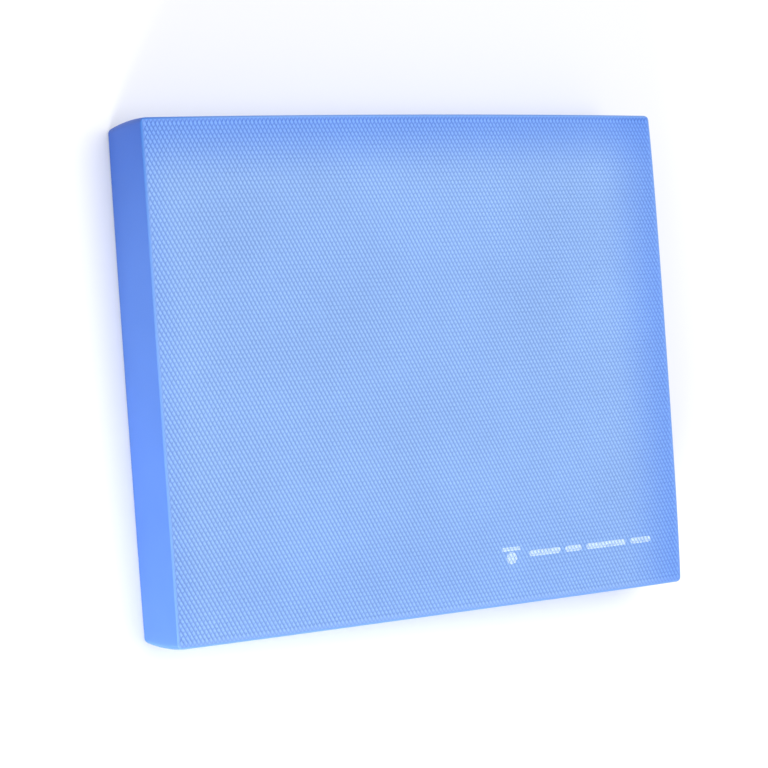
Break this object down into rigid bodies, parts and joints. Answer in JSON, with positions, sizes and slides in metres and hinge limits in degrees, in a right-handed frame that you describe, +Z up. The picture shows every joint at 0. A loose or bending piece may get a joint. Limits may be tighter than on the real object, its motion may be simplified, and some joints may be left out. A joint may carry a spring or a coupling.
{
  "type": "balance pad",
  "caption": "Soft rectangular foam pad with crowned sides, rounded edges and pip-embossed faces, laid flat as an unstable surface to stand or exercise on.",
  "frame": {"origin": "on the floor under the middle of the pad, at the centre of its bottom face", "axes": "+X along the long sides, towards the printed mark's end; +Y along the short sides, away from the printed mark; +Z up through the thickness"},
  "size_m": [0.4, 0.34, 0.057],
  "materials": {
    "foam_core": "closed-cell TPE foam, matte",
    "grip_skin": "embossed foam skin, matte",
    "side_skin": "smooth moulded foam skin, satin",
    "print_ink": "screen-printed ink, matte"
  },
  "bodies": {
    "root": {"foam_core": "foam_core", "top_grip_skin": "grip_skin", "bottom_grip_skin": "grip_skin", "side_skin": "side_skin", "printed_mark": "print_ink"}
  },
  "joints": []
}
